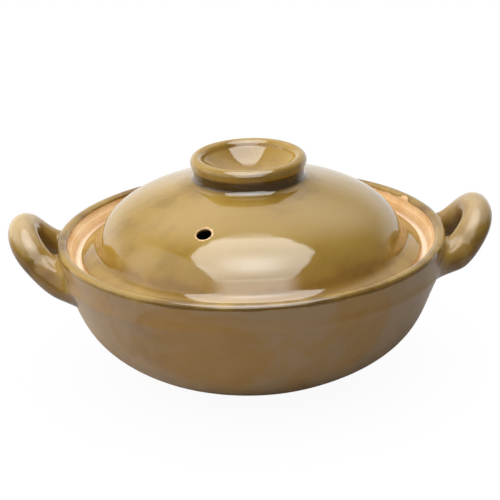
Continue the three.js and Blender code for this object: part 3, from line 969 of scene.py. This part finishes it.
# how bright a softbox is across its face
def faceStrength(tree, look):
    spread = addNode(tree, "ShaderNodeNewGeometry").outputs["Parametric"]
    sides = addNode(tree, "ShaderNodeSeparateXYZ", links={0: spread})
    across, upright = look["fade"]
    edges = [(0, 0, across, 0), (0, 1, 1 - across, 0), (1, 0, upright, 0), (1, 1, 1 - upright, 0)]
    if "dim" in look:
        edges.append((1, 0, *look["dim"]))
    factors = [ranged(tree, sides.outputs[axis], *fade) for axis, *fade in edges]
    if "corner" in look:
        middle = (0.5, look["waist"], 0)
        off = addNode(tree, "ShaderNodeVectorMath", {"operation": "SUBTRACT"}, {1: middle}, {0: spread})
        off = addNode(tree, "ShaderNodeVectorMath", {"operation": "ABSOLUTE"}, links={0: off.outputs[0]})
        out = addNode(tree, "ShaderNodeVectorMath", {"operation": "DOT_PRODUCT"}, {1: (1, 1, 0)},
                      {0: off.outputs[0]}).outputs["Value"]
        factors.append(ranged(tree, out, look["corner"], look["corner"] - look["cornerFade"]))
    strength = factors[0]
    for factor in factors[1:]:
        strength = reckon(tree, "MULTIPLY", {0: strength, 1: factor})
    return strength


# two lamps in one place: one lights the clay, the other is only seen in the glaze
def softbox(name, look):
    direction = fromFront(*look["from"])
    for part, nearer in (("light", 0), ("gleam", gleamNearer)):
        if look[part] == 0:
            continue
        lamp = bpy.data.lights.new(name + "_" + part, "AREA")
        lamp.shape = "RECTANGLE"
        lamp.size, lamp.size_y = look["size"]
        lamp.energy = look[part] * math.pi * lamp.size * lamp.size_y
        lampObject = placed(name + "_" + part, lamp)
        lampObject.location = target + direction * (look["distance"] - nearer)
        lampObject.rotation_mode = "QUATERNION"
        lampObject.rotation_quaternion = direction.to_track_quat("Z", "Y")
        lampObject.visible_camera = False
        lampObject.visible_diffuse = part == "light"
        lampObject.visible_glossy = part == "gleam"
        lamp.use_nodes = True
        tree = lamp.node_tree
        tree.nodes.clear()
        glow = addNode(tree, "ShaderNodeEmission", links={"Strength": faceStrength(tree, look)})
        addNode(tree, "ShaderNodeOutputLight", links={"Surface": glow.outputs[0]})


for name, look in studio.items():
    softbox(name, look)

# The white backdrop, which the glaze mirrors only where it stands behind the pot, and the dim room.
# Directions: from dark to white going backwards, and from full at low to part of it above the top.
backdrop = {"dark": 0.30, "white": 0.70, "low": 0.15, "top": 0.45, "above": 0.55, "room": 0.18}
world = bpy.data.worlds.new("studio")
bpy.context.scene.world = world
world.use_nodes = True
tree = world.node_tree
tree.nodes.clear()
ray = addNode(tree, "ShaderNodeLightPath")
outward = addNode(tree, "ShaderNodeTexCoord").outputs["Generated"]
side = addNode(tree, "ShaderNodeSeparateXYZ", links={0: outward})
behind = ranged(tree, side.outputs[1], backdrop["dark"], backdrop["white"])
height = ranged(tree, side.outputs[2], backdrop["top"], backdrop["low"], backdrop["above"])
seen = reckon(tree, "MULTIPLY", {0: behind, 1: height})
seen = reckon(tree, "MULTIPLY", {0: seen, 1: ray.outputs["Is Glossy Ray"]})
for kind in ("Is Camera Ray", "Is Transmission Ray"):
    seen = reckon(tree, "MAXIMUM", {0: seen, 1: ray.outputs[kind]})
paper = linear("#ffffff")
room = addNode(tree, "ShaderNodeBackground", values={"Color": paper, "Strength": backdrop["room"]})
white = addNode(tree, "ShaderNodeBackground", values={"Color": paper, "Strength": 1.0})
both = addNode(tree, "ShaderNodeMixShader", links={0: seen, 1: room.outputs[0], 2: white.outputs[0]})
addNode(tree, "ShaderNodeOutputWorld", links={"Surface": both.outputs[0]})

# a paper sheet, wide behind and to the left, cut close at the front and right so the glaze mirrors dark there
floorLook = {
    "near": 0.32, "far": 0.6, "towards": 125, "cut": 1.5,  # reach in metres, and which way it is widest
    "drop": 0.0004,
    "white": "#c4c4c4",
    "washFrom": 0.04, "clearOf": 0.17, "wash": 0.94,  # the shadow is washed out to white by this distance
    "mirrorFrom": 0.06, "mirrorFull": 0.22,  # the glaze mirrors it white only behind the pot
}


def studioFloor():
    turn = np.radians(np.arange(0, 360, 3))
    reach = np.maximum(np.cos(turn - math.radians(floorLook["towards"])), 0) ** floorLook["cut"]
    reach = floorLook["near"] + floorLook["far"] * reach
    edge = np.stack([reach * np.cos(turn), reach * np.sin(turn), 0 * turn], 1)
    mesh = newMesh("floor", edge.tolist(), [list(range(len(edge)))])
    floor = placed("floor", mesh)
    floor.location.z = -floorLook["drop"]
    material, tree = newMaterial("white studio floor")
    ray = addNode(tree, "ShaderNodeLightPath")
    place = addNode(tree, "ShaderNodeTexCoord").outputs["Object"]
    away = addNode(tree, "ShaderNodeVectorMath", {"operation": "LENGTH"}, links={0: place}).outputs["Value"]
    far = ranged(tree, away, floorLook["washFrom"], floorLook["clearOf"], floorLook["wash"])
    depth = addNode(tree, "ShaderNodeSeparateXYZ", links={0: place}).outputs[1]
    behind = ranged(tree, depth, floorLook["mirrorFrom"], floorLook["mirrorFull"], kind="LINEAR")
    direct = reckon(tree, "MULTIPLY", {0: far, 1: ray.outputs["Is Camera Ray"]})
    mirrored = reckon(tree, "MULTIPLY", {0: behind, 1: ray.outputs["Is Glossy Ray"]})
    shown = reckon(tree, "MAXIMUM", {0: direct, 1: mirrored})
    paper = addNode(tree, "ShaderNodeBsdfDiffuse", values={"Color": linear(floorLook["white"])})
    glow = addNode(tree, "ShaderNodeEmission", values={"Strength": 1.0})
    mixed = addNode(tree, "ShaderNodeMixShader", links={0: shown, 1: paper.outputs[0], 2: glow.outputs[0]})
    addNode(tree, "ShaderNodeOutputMaterial", links={"Surface": mixed.outputs[0]})
    mesh.materials.append(material)


studioFloor()
bpy.context.scene.view_settings.view_transform = "Standard"
print("studio set")
